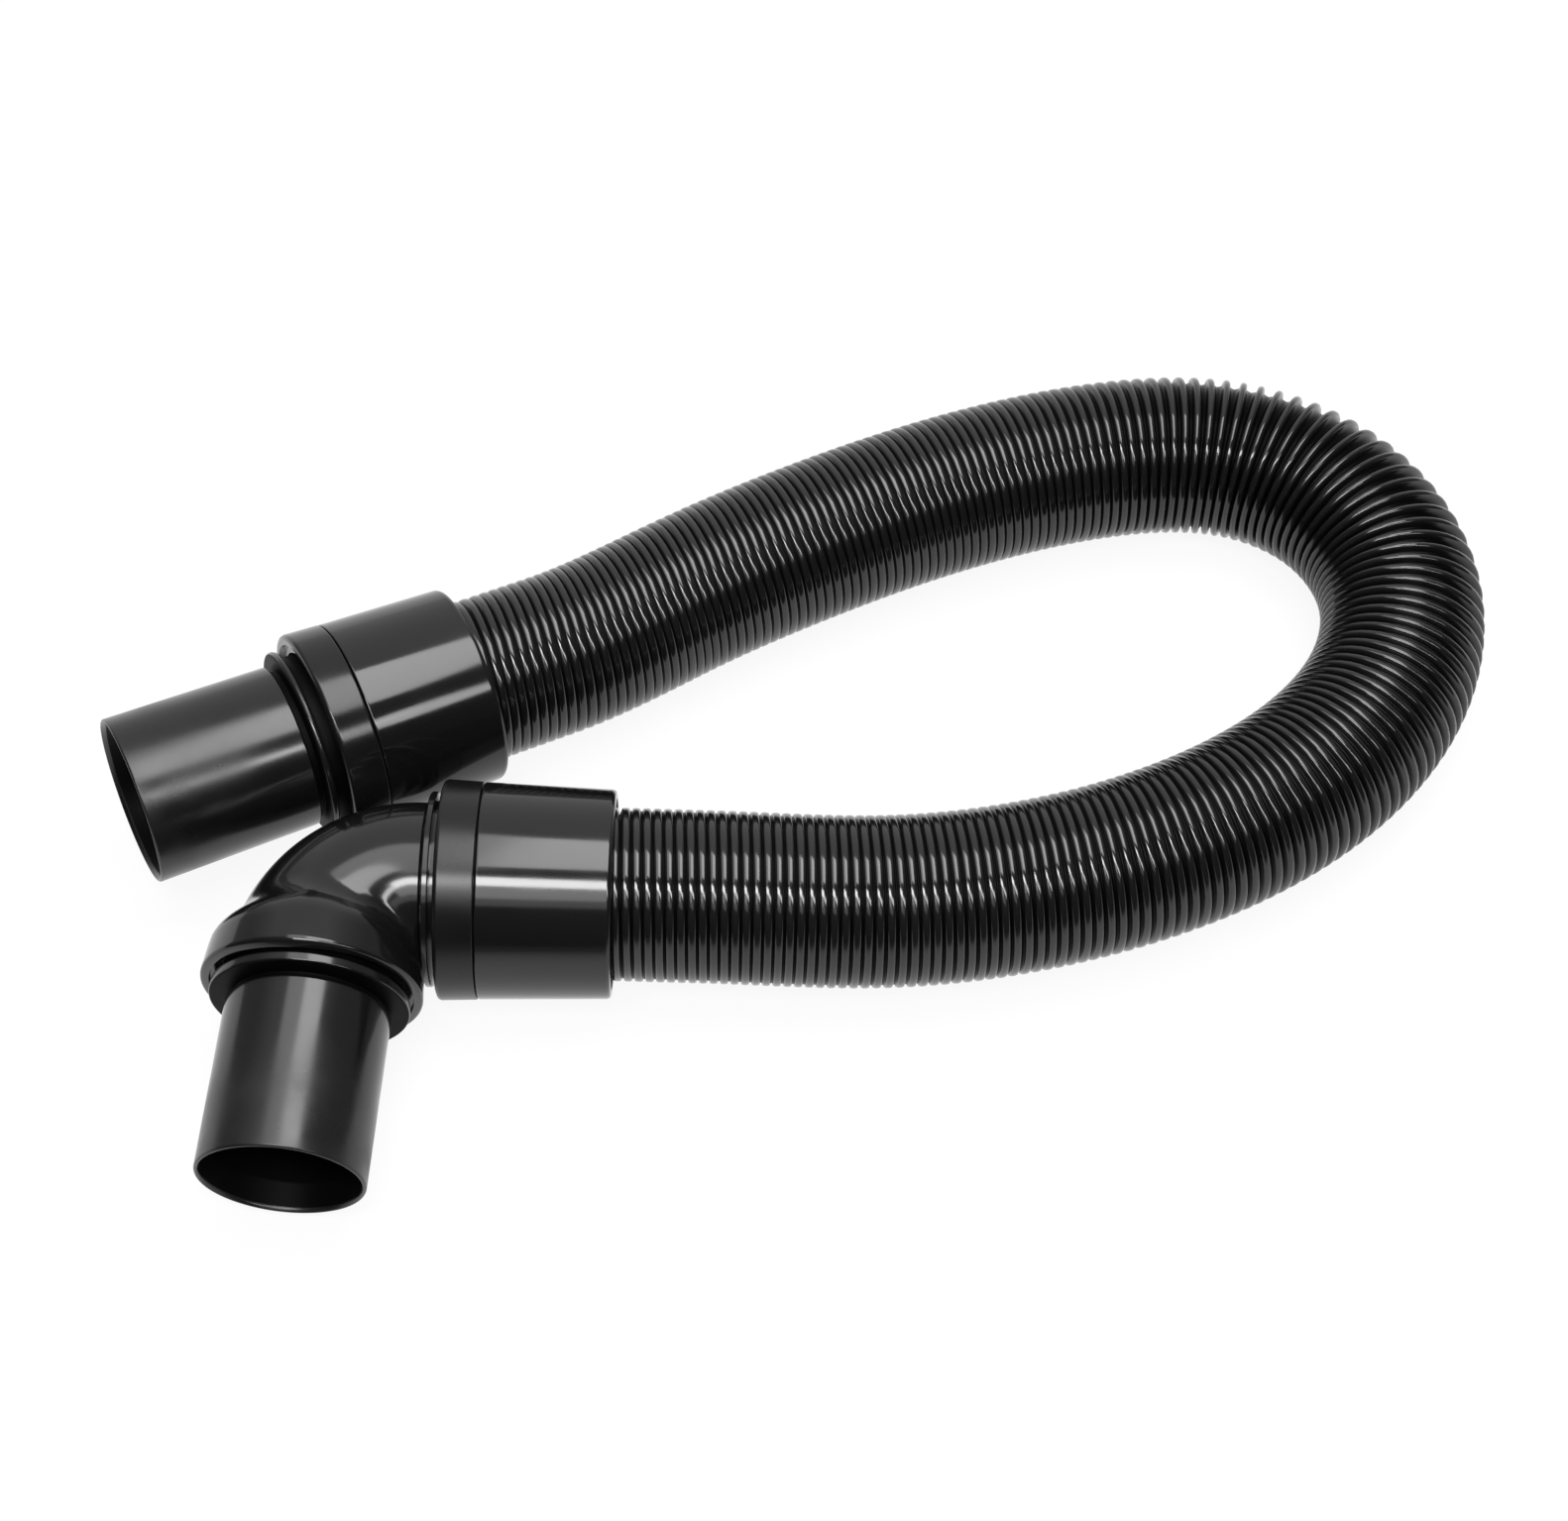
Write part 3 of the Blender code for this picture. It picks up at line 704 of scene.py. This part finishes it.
def smooth_curve(points, first_way, last_way, per_span=16):
    """Points of a smooth curve through the ones given, with its first and last direction."""
    knots = np.array([tuple(p) for p in points])
    spans = np.linalg.norm(np.diff(knots, axis=0), axis=1)
    count = len(knots)
    system, right = np.eye(count), np.zeros((count, 3))
    right[0], right[-1] = first_way, last_way
    for i in range(1, count - 1):
        before, after = spans[i - 1], spans[i]
        system[i, i - 1:i + 2] = after, 2.0 * (before + after), before
        ahead, behind = (knots[i + 1] - knots[i]) / after, (knots[i] - knots[i - 1]) / before
        right[i] = 3.0 * (after * behind + before * ahead)
    ways = np.linalg.solve(system, right)
    line = []
    for i, span in enumerate(spans):
        for t in np.arange(per_span) / per_span:
            spot = (2 * t**3 - 3 * t**2 + 1) * knots[i] + (t**3 - 2 * t**2 + t) * span * ways[i]
            spot = spot + (3 * t**2 - 2 * t**3) * knots[i + 1] + (t**3 - t**2) * span * ways[i + 1]
            line.append(spot)
    return np.array(line + [knots[-1]])


RAMP_STEPS = 8
away = heading(ELBOW_YAW, -ELBOW_TILT)
first = HOSE_START + away * STRAIGHT_RUN
last = HOSE_END - straight_way * STRAIGHT_RUN
middle = smooth_curve([first, *ROUTE, last], away, straight_way)
ramp = np.linspace(0.0, 1.0, RAMP_STEPS)[:, None]
lead_in = np.array(HOSE_START) * (1 - ramp[:-1]) + np.array(first) * ramp[:-1]
lead_out = np.array(last) * (1 - ramp[1:]) + np.array(HOSE_END) * ramp[1:]
line = np.vstack([lead_in, middle, lead_out])
line[:, 2] = np.maximum(line[:, 2], CREST)
along = np.concatenate([[0.0], np.cumsum(np.linalg.norm(np.diff(line, axis=0), axis=1))])
HOSE_LENGTH = float(along[-1])
print("hose is", round(HOSE_LENGTH / MM, 1), "mm long, with", len(ROUTE) + 4, "hand-placed points")

# %% [markdown]
# ## How far apart the ribs are
#
# A stretch hose is a thin wall wound in one long spiral rib. At rest the ribs nearly touch, and a
# pull opens them like a spring. The photograph shows both: near the cuffs a rib follows every
# 2.85 mm, round the outer bend the hose is stretched and they stand almost 5 mm apart. So the rib's
# pitch is written as a function of the length along the hose, and summed up into a rib count.

# %% Pitch of the ribs along the hose
HIDDEN_RUN, HIDDEN_PITCH = 22.2, 4.3
SLACK_PITCH = 2.85
EASED = (0.47, 252.6, 121.0)
PULLED = (1.62, 338.6, 58.0)


def hump(run, height, middle, width):
    """Smooth hump of a height round the middle of a run."""
    return height * np.exp(-(((run - middle) / width) ** 2))


def rib_pitch(run, length):
    """Millimetres from one turn of the rib to the next, at a run along the hose in millimetres."""
    hidden = (run < HIDDEN_RUN) | (run > length - HIDDEN_RUN)
    return np.where(hidden, HIDDEN_PITCH, SLACK_PITCH + hump(run, *EASED) + hump(run, *PULLED))


fine = np.linspace(0.0, HOSE_LENGTH / MM, 6000)
pitch = rib_pitch(0.5 * (fine[1:] + fine[:-1]), fine[-1])
ribs = np.concatenate([[0.0], np.cumsum(np.diff(fine) / pitch)])
RIBS = int(round(ribs[-1]))
ribs *= RIBS / ribs[-1]
print("the rib makes", RIBS, "turns, pitch", round(pitch.min(), 2), "to", round(pitch.max(), 2), "mm")

# %% [markdown]
# ## One turn of the rib, many times over
#
# The hose is first made straight, in a space where one unit of height is one turn of the rib. A
# short profile of one rib, from valley to valley, is spun once round while it climbs one unit, which
# gives a single turn of the spiral. An Array modifier stacks the turns, and because each ends where
# the next begins, they merge into one skin. Spinning all turns in one go gives the same, but takes
# far longer. The ends are cut square, and a plain inner tube closes the wall.

# %% Straight spiral hose, height in turns
AROUND = 48
MERGE_TURNS = 0.01
CREST_RADIUS, BORE_RADIUS = 23.5, 18.6
DULL_AND_SHADED_RADIUS, GLOSS_RADIUS = 21.0, 22.7
RIB_PROFILE = (
    (-0.500, 20.80), (-0.375, 21.40), (-0.250, 22.90), (-0.125, 23.40), (0.0, 23.50),
    (0.125, 23.40), (0.250, 22.90), (0.375, 21.40), (0.500, 20.80),
)


def one_turn():
    """A single climbing turn of the rib as an object."""
    shape = bmesh.new()
    dots = [shape.verts.new((radius, 0.0, height)) for height, radius in RIB_PROFILE]
    for first_dot, second_dot in zip(dots, dots[1:]):
        shape.edges.new((first_dot, second_dot))
    bmesh.ops.spin(shape, geom=shape.verts[:] + shape.edges[:], cent=(0, 0, 0), axis=(0, 0, 1),
                   dvec=(0, 0, 1.0 / AROUND), angle=2.0 * pi, steps=AROUND)
    return placed("one_turn", mesh_from("one_turn", shape))


turn = one_turn()
stack = turn.modifiers.new("Stack", "ARRAY")
stack.count = RIBS
stack.use_relative_offset = False
stack.use_constant_offset = True
stack.constant_offset_displace = (0.0, 0.0, 1.0)
stack.use_merge_vertices = True
stack.merge_threshold = MERGE_TURNS
stacked = bpy.data.meshes.new_from_object(turn.evaluated_get(bpy.context.evaluated_depsgraph_get()))
bpy.data.objects.remove(turn, do_unlink=True)
spiral = bmesh.new()
spiral.from_mesh(stacked)
bmesh.ops.remove_doubles(spiral, verts=spiral.verts, dist=MERGE_TURNS)
print("spiral skin has", len(spiral.faces), "faces")

# %% Square ends and the inner wall
END_CUT, WALL_CUTS = 0.6, 120
TOP, BOTTOM = RIBS - END_CUT, END_CUT
for height, way in ((BOTTOM, -1.0), (TOP, 1.0)):
    bmesh.ops.bisect_plane(spiral, geom=spiral.verts[:] + spiral.edges[:] + spiral.faces[:],
                           plane_co=(0, 0, height), plane_no=(0, 0, way), clear_outer=True)
outer_edges = [edge for edge in spiral.edges if edge.is_boundary]
wall = bmesh.ops.create_cone(spiral, cap_ends=False, segments=AROUND, radius1=BORE_RADIUS,
                             radius2=BORE_RADIUS, depth=TOP - BOTTOM)
bmesh.ops.translate(spiral, verts=wall["verts"], vec=(0, 0, 0.5 * (TOP + BOTTOM)))
inner_edges = {edge for v in wall["verts"] for edge in v.link_edges}
long_edges = [edge for edge in inner_edges if not edge.is_boundary]
rims = [edge for edge in inner_edges if edge.is_boundary]
for is_end in (lambda z: z < 1.0, lambda z: z > RIBS - 1.0):
    pair = [edge for edge in outer_edges + rims if is_end(edge.verts[0].co.z)]
    bmesh.ops.bridge_loops(spiral, edges=pair)
bmesh.ops.subdivide_edges(spiral, edges=long_edges, cuts=WALL_CUTS)
bmesh.ops.recalc_face_normals(spiral, faces=spiral.faces)
print("open edges left:", sum(edge.is_boundary for edge in spiral.edges))

# %% [markdown]
# ## Laying the hose along its route
#
# A Curve modifier could bend the straight hose, but it would stretch the ribs with the wall. On the
# real hose the thick rib keeps its width and only the thin web between two ribs opens. So each
# vertex is carried by hand: a rib's vertices go to the place of that rib on the route and keep their
# millimetres from it, and the valley's vertices go half way to the next rib. Where ribs stand close
# their valleys are shallow, and a pull deepens them. Nor does a rib stand quite square to the route:
# the photograph shows it leaning by up to nine degrees, as a spring's turns do when it is bent by
# hand, so a short list says how far it leans along the way. A number from 0 in the valleys to 1 on
# the crests is kept on the mesh for the finish.

# %% Carry the ribs to the route
RIB_SPOTS, RIB_HALF_WIDTHS = (0.0, 0.125, 0.25, 0.375), (0.0, 0.56, 0.98, 1.16)
CLOSE_SPACING, OPEN_SPACING, CLOSE_DEPTH = 2.9, 4.3, 0.34
LEAN = (
    (0, 0), (30, 1), (60, 1.5), (100, -1), (128, -5), (156, -6), (184, -3.5), (207, -1), (245, 2),
    (265, 0), (287, -5), (318, -3), (340, -6), (386, -3), (420, -1), (480, 0), (505, -2), (525, -5),
    (545, -9), (610, -8), (631, 0),
)
WAY_REACH = 0.004
BORE_MARGIN = 0.2


def route_point(run):
    """Points of the middle line at some runs along it, in metres."""
    return np.column_stack([np.interp(run, along, line[:, k]) for k in range(3)])


def station(turns):
    """Place, sideways and upwards directions and way of the route at a count of turns."""
    run = np.interp(turns, ribs, fine) * MM
    way = route_point(run + WAY_REACH) - route_point(run - WAY_REACH)
    way /= np.linalg.norm(way, axis=1)[:, None]
    lean = np.radians(np.interp(run / MM, *zip(*LEAN)))
    x, y = way[:, 0].copy(), way[:, 1].copy()
    way[:, 0] = x * np.cos(lean) - y * np.sin(lean)
    way[:, 1] = x * np.sin(lean) + y * np.cos(lean)
    side = np.cross((0.0, 0.0, 1.0), way)
    side /= np.linalg.norm(side, axis=1)[:, None]
    return route_point(run), side, np.cross(way, side), way


def carried(turns, radius, angle, ahead=0.0):
    """Points at a radius and angle round the route, moved ahead by some millimetres."""
    place, side, up, way = station(turns)
    out = side * np.cos(angle)[:, None] + up * np.sin(angle)[:, None]
    return place + MM * (out * radius[:, None] + way * np.reshape(ahead, (-1, 1)))


hose_mesh = mesh_from("ribbed_hose", spiral)
raw = np.zeros(len(hose_mesh.vertices) * 3)
hose_mesh.vertices.foreach_get("co", raw)
raw = raw.reshape(-1, 3)
radius = np.hypot(raw[:, 0], raw[:, 1])
angle = np.arctan2(raw[:, 1], raw[:, 0]) % (2.0 * pi)
turns = raw[:, 2] - angle / (2.0 * pi)
rib = np.round(turns)
offset = turns - rib
centre = rib + angle / (2.0 * pi)
spacing = np.gradient(fine, ribs)
spacing_here = np.interp(centre, ribs, spacing)
depth = np.interp(spacing_here, (CLOSE_SPACING, OPEN_SPACING), (CLOSE_DEPTH, 1.0))
reach = np.interp(np.abs(offset), RIB_SPOTS, RIB_HALF_WIDTHS) * np.sign(offset)
outside = CREST_RADIUS - (CREST_RADIUS - radius) * depth
on_rib = carried(centre, outside, angle, reach)
in_valley = carried(centre + 0.5 * np.sign(offset), outside, angle)
blend = np.clip((np.abs(offset) - RIB_SPOTS[-1]) / (0.5 - RIB_SPOTS[-1]), 0.0, 1.0)[:, None]
spots = on_rib * (1.0 - blend) + in_valley * blend
inner = radius < BORE_RADIUS + BORE_MARGIN
spots[inner] = carried(raw[inner, 2], radius[inner], angle[inner])
hose_mesh.vertices.foreach_set("co", spots.ravel())
hose_mesh.update()
# The crest number also sets the painted shade in the valleys.
crest = hose_mesh.attributes.new("crest", "FLOAT", "POINT")
share = np.clip((radius - DULL_AND_SHADED_RADIUS) / (GLOSS_RADIUS - DULL_AND_SHADED_RADIUS), 0.0, 1.0)
crest.data.foreach_set("value", share.astype(np.float32))
print("hose mesh:", len(spots), "vertices, lowest point", round(spots[:, 2].min() / MM, 2), "mm")

# %% [markdown]
# ## The hose's finish
#
# The rib is extruded from a softer black plastic than the cuffs. Its crests are polished by being
# dragged over floors, and the webs between them are dull. Deep between two ribs the colour is painted
# almost black and the shine is taken away, as painted shade. The crest number on the mesh mixes the
# two, so that the pattern follows the ribs however they are bent. Slow noise varies the gloss, because
# an even shine over two hundred ribs looks drawn.

# %% Ribbed black plastic
VALLEY_PAINTED_SHADE = (0.0004, 0.0004, 0.0004)
VALLEY_DULLING = 0.22
VALLEY_SHINE, CREST_SHINE = 0.02, 0.55


def ribbed_plastic():
    """Black with glossy crests and dull valleys, which are painted still blacker as painted shade."""
    finish = moulded_plastic("hose_black", BLACK, (0.09, 0.14), Matrix(), wave=0.006)
    tree = finish.node_tree
    shader = tree.nodes["Principled BSDF"]
    tone, rough = (shader.inputs[name].links[0].from_socket for name in ("Base Color", "Roughness"))
    high = node(tree, "ShaderNodeAttribute", (-900, 700))
    high.attribute_name = "crest"
    high = high.outputs["Fac"]
    # Painted shade: the valleys' colour goes to near black, and below their shine is taken away.
    colour = mixed_colours(tree, high, VALLEY_PAINTED_SHADE, tone, (-200, 500))
    tree.links.new(colour, shader.inputs["Base Color"])
    dulling = map_range(tree, high, (-200, 250), (0.0, 1.0), (VALLEY_DULLING, 0.0))
    tree.links.new(combined(tree, "ADD", rough, dulling, (0, 250)), shader.inputs["Roughness"])
    shine = map_range(tree, high, (-200, 0), (0.0, 1.0), (VALLEY_SHINE, CREST_SHINE))
    tree.links.new(shine, shader.inputs["Specular IOR Level"])
    return finish


hose_mesh.polygons.foreach_set("use_smooth", [True] * len(hose_mesh.polygons))
hose_mesh.materials.append(ribbed_plastic())
hose = placed("ribbed_hose", hose_mesh)
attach(hose, "hose_and_cuffs")
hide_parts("hose")
print("hose declared as a cord", round(HOSE_LENGTH, 3), "m long")

# %% [markdown]
# ## Floor
#
# The photograph was cut out on pure white with only a breath of shadow. A white floor under strong
# lamps would burn out the whole picture. Instead the floor is an ordinary pale surface for every ray
# but those of the camera and of mirrorings: these see it mixed with plain white, which leaves a faint
# shadow. The lamps stay at a level where colours look as written. In the mirrorings the floor fades to
# dark from the elbow's mouth towards the camera, as the lower sides of the tubes show.

# %% White floor
FLOOR_HALF = 4.0
SHADOW_SHARE = 0.09
FADE_END, FADE_START, FADE_DARKEST = -0.36, -0.10, 0.06
PLAIN_WHITE = (1.0, 1.0, 1.0, 1.0)


def floor_finish():
    """Pale matt finish that the camera and mirrorings see mixed with plain white."""
    finish = bpy.data.materials.new("white_floor")
    finish.use_nodes = True
    tree = finish.node_tree
    tree.nodes.clear()
    matt = node(tree, "ShaderNodeBsdfDiffuse", (-400, 100), Color=(0.80, 0.80, 0.80, 1.0))
    ray = node(tree, "ShaderNodeLightPath", (-900, 200)).outputs
    seen = combined(tree, "MAXIMUM", ray["Is Camera Ray"], ray["Is Glossy Ray"], (-700, 200))
    share = combined(tree, "MULTIPLY", seen, 1.0 - SHADOW_SHARE, (-500, 250))
    where = node(tree, "ShaderNodeTexCoord", (-1100, -200)).outputs["Object"]
    forward = node(tree, "ShaderNodeSeparateXYZ", (-900, -200), Vector=where).outputs["Y"]
    # The floor's plain white, as mirrored, fades to dark towards the camera.
    mirrored_fade = map_range(tree, forward, (-700, -200), (FADE_END, FADE_START), (FADE_DARKEST, 1.0))
    lit = combined(tree, "MAXIMUM", mirrored_fade, ray["Is Camera Ray"], (-550, -200))
    plain = node(tree, "ShaderNodeEmission", (-400, -100), Color=PLAIN_WHITE, Strength=lit)
    mix = node(tree, "ShaderNodeMixShader", (-150, 0), Fac=share)
    tree.links.new(matt.outputs["BSDF"], mix.inputs[1])
    tree.links.new(plain.outputs["Emission"], mix.inputs[2])
    node(tree, "ShaderNodeOutputMaterial", (50, 0), Surface=mix.outputs["Shader"])
    return finish


shape = bmesh.new()
bmesh.ops.create_grid(shape, x_segments=1, y_segments=1, size=FLOOR_HALF)
floor = placed("floor", mesh_from("floor", shape))
floor.data.materials.append(floor_finish())
floor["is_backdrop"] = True
print("floor is", 2.0 * FLOOR_HALF, "m wide")

# %% [markdown]
# ## Light
#
# Glossy black has almost no colour of its own: what is seen is the room mirrored in it. The long
# streaks on the cuffs tell where the studio's lamps hung, for a line from the camera to a streak,
# mirrored there, ends at a lamp. A large soft box overhead, with a dimmer one beside it over the
# straight cuff, gives the broad grey bands. A narrow strip on the camera's side gives the thin white
# line. The strip dims towards the outer bend and has a soft fringe, so it is made of five lamps. The
# white wall behind gives the even grey of the far sides. The room's front stays dark, and so do the
# fronts of the tubes.

# %% Lamps
GLOW_TO_WATTS = 4.0


def area_lamp(name, spot, size, glow, turned_by):
    """Downward area lamp of a size in metres at a spot, turned in degrees, with its surface's glow."""
    data = bpy.data.lights.new(name, "AREA")
    data.shape = "RECTANGLE"
    data.size, data.size_y = size
    data.energy = GLOW_TO_WATTS * glow * size[0] * size[1]
    lamp = placed(name, data)
    lamp.location = spot
    lamp.rotation_euler = (0.0, 0.0, radians(turned_by))
    lamp.visible_camera = False


HEIGHT = 1.25
LAMPS = (
    ("soft_box", (0.36, 0.25), (0.60, 0.78), 5.6, 0.0),
    ("soft_box_dim", (-0.19, 0.23), (0.50, 0.94), 2.0, 0.0),
    ("soft_box_core", (-0.15, 0.22), (0.58, 0.46), 1.5, 0.0),
    ("strip_bright", (-0.02, -0.48), (0.62, 0.22), 16.5, -8.0),
    ("strip_dim", (0.66, -0.67), (0.80, 0.16), 11.0, -16.0),
    ("strip_end", (1.14, -0.75), (0.50, 0.26), 6.5, -24.0),
    ("strip_glow", (0.00, -0.80), (0.70, 0.36), 2.8, -8.0),
    ("strip_fade", (0.25, -1.13), (1.30, 0.40), 0.9, -8.0),
)
for name, spot, size, glow, turned_by in LAMPS:
    area_lamp(name, (*spot, HEIGHT), size, glow, turned_by)
print("lamps:", len(LAMPS))

# %% Room
DEPTH_STOPS = ((0.0, 0.05), (0.5, 0.28), (0.72, 0.88), (1.0, 0.88))
ACROSS_STOPS = ((0.0, 0.28), (0.12, 0.36), (0.25, 0.90), (0.66, 1.0), (0.86, 0.32), (1.0, 0.26))


def grey_ramp(tree, value, stops, place):
    """Greys along a value from -1 to 1, given as (position, shade) stops with positions 0 to 1."""
    share = map_range(tree, value, (place[0] - 200, place[1]), (-1.0, 1.0), (0.0, 1.0))
    ramp = node(tree, "ShaderNodeValToRGB", place, Fac=share)
    greys = [(shade, shade, shade, 1.0) for _, shade in stops]
    elements = ramp.color_ramp.elements
    elements[0].color, elements[1].color = greys[0], greys[-1]
    for (position, _), grey in list(zip(stops, greys))[1:-1]:
        elements.new(position).color = grey
    return ramp.outputs["Color"]


world = bpy.data.worlds.new("room")
bpy.context.scene.world = world
world.use_nodes = True
tree = world.node_tree
tree.nodes.clear()
where = node(tree, "ShaderNodeTexCoord", (-1000, 0)).outputs["Generated"]
parts = node(tree, "ShaderNodeSeparateXYZ", (-800, 0), Vector=where).outputs
walls = node(tree, "ShaderNodeMix", (-150, 250))
walls.data_type = "RGBA"
walls.blend_type = "MULTIPLY"
walls.inputs["Factor"].default_value = 1.0
tree.links.new(grey_ramp(tree, parts["Y"], DEPTH_STOPS, (-400, 0)), walls.inputs["A"])
tree.links.new(grey_ramp(tree, parts["X"], ACROSS_STOPS, (-400, 300)), walls.inputs["B"])
room = node(tree, "ShaderNodeBackground", (100, 0), Color=walls.outputs["Result"])
bright = node(tree, "ShaderNodeBackground", (100, -200), Color=PLAIN_WHITE)
ray = node(tree, "ShaderNodeLightPath", (100, 300))
mix = node(tree, "ShaderNodeMixShader", (350, 0), Fac=ray.outputs["Is Camera Ray"])
tree.links.new(room.outputs["Background"], mix.inputs[1])
tree.links.new(bright.outputs["Background"], mix.inputs[2])
node(tree, "ShaderNodeOutputWorld", (550, 0), Surface=mix.outputs["Shader"])
bpy.context.scene.view_settings.view_transform = "Standard"
print("room and lamps are set")

# %% [markdown]
# ## The size of the dressed part
#
# The box of the bare solids and the box of the dressed part are both printed. The dressed part
# must stay within the box of the bare solids, apart from a small margin.

# %% Sizes, and the last line
bpy.context.view_layer.update()
seen_box = [list(corner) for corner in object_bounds()]
for kind, box in (("solid", cad_box), ("dressed", seen_box)):
    print(kind, "box", [round(high - low, 4) for low, high in zip(*box)], "m")
